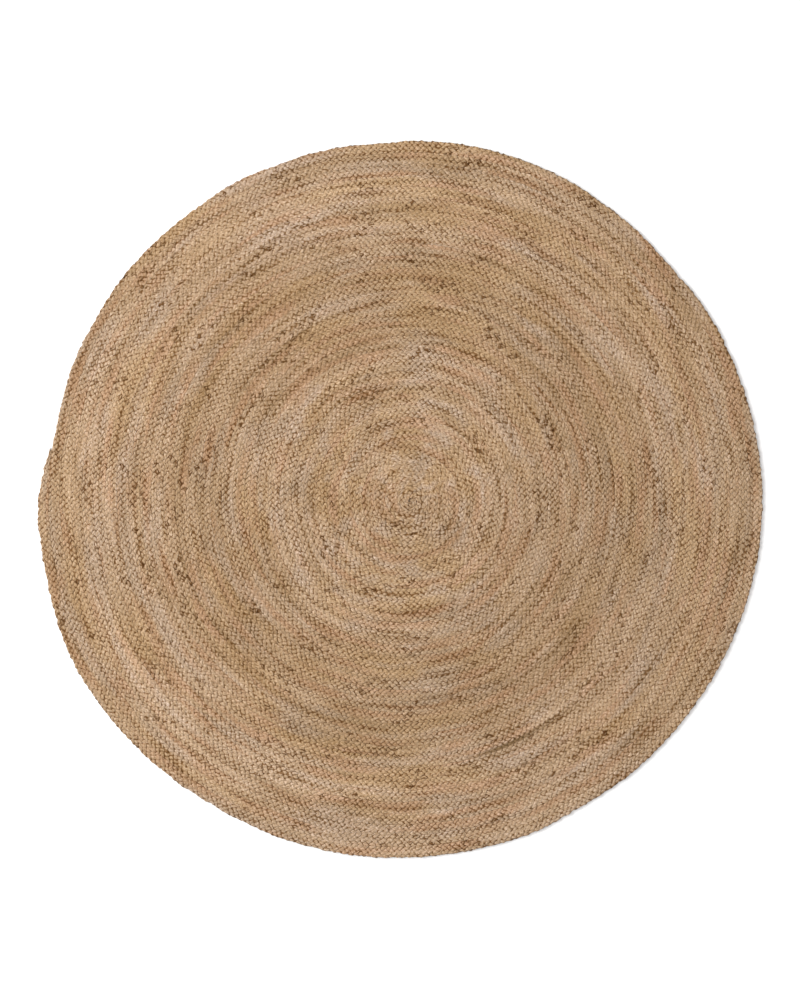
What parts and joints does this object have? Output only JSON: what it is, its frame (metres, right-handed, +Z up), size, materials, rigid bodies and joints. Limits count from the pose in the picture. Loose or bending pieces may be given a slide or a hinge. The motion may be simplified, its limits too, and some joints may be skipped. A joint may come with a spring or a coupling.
{
  "type": "round jute rug",
  "caption": "Flat round rug of braided jute, coiled edge to edge from its middle and sewn along the seams, with a slightly uneven rim and a tapered tail.",
  "frame": {"origin": "middle of the rug's outline, on its underside", "axes": "+Z up out of the rug's face; seen from above, the braid's tail ends on the -X side, a little towards +Y"},
  "size_m": [1.2106, 1.1984, 0.009],
  "materials": {
    "jute": "matt braided jute yarn in sandy brown, with golden, grey and dark brown stretches"
  },
  "bodies": {
    "root": {"coiled_braid": "jute"}
  },
  "joints": []
}
